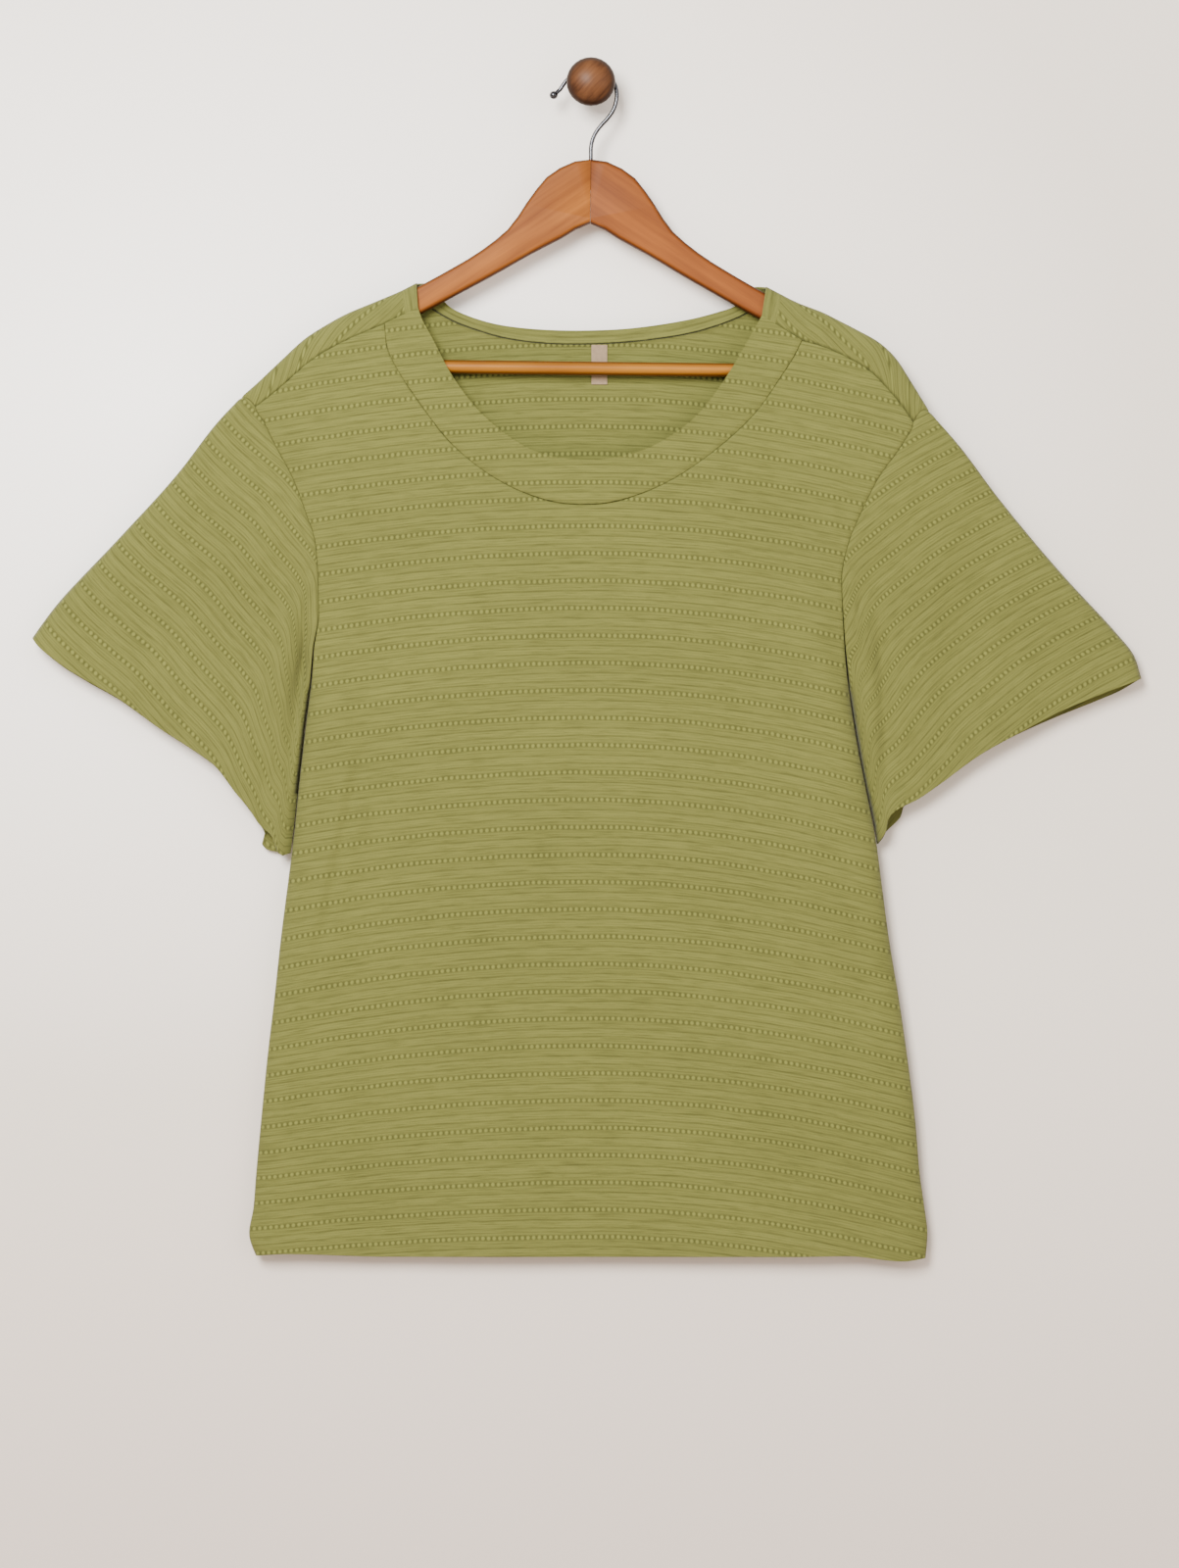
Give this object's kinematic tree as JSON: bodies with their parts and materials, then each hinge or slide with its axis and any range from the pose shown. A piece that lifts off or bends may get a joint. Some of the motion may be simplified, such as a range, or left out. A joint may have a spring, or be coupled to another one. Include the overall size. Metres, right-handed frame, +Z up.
{
  "type": "blouse on a hanger",
  "caption": "Short-sleeved knit blouse with a wide scoop neck, hung flat on a wooden hanger with a steel wire hook over a round wooden wall knob.",
  "frame": {"origin": "centre of the wall knob's flat back, where it meets the wall", "axes": "+Y into the wall, +Z up along the garment's length, +X to the viewer's right"},
  "size_m": [0.7891, 0.038, 0.8591],
  "materials": {
    "cloth": "matte knit",
    "label": "matte woven tape",
    "pale_wood": "satin varnish",
    "steel": "polished wire",
    "knob_wood": "satin varnish"
  },
  "bodies": {
    "root": {"front": "cloth", "back": "cloth", "sleeve_left": "cloth", "sleeve_right": "cloth", "front_neckband": "cloth", "back_neck_binding": "cloth", "label": "label", "hanger_arm_left": "pale_wood", "hanger_arm_right": "pale_wood", "hanger_bar": "pale_wood", "hanger_hook": "steel", "wall_knob": "knob_wood"}
  },
  "joints": []
}
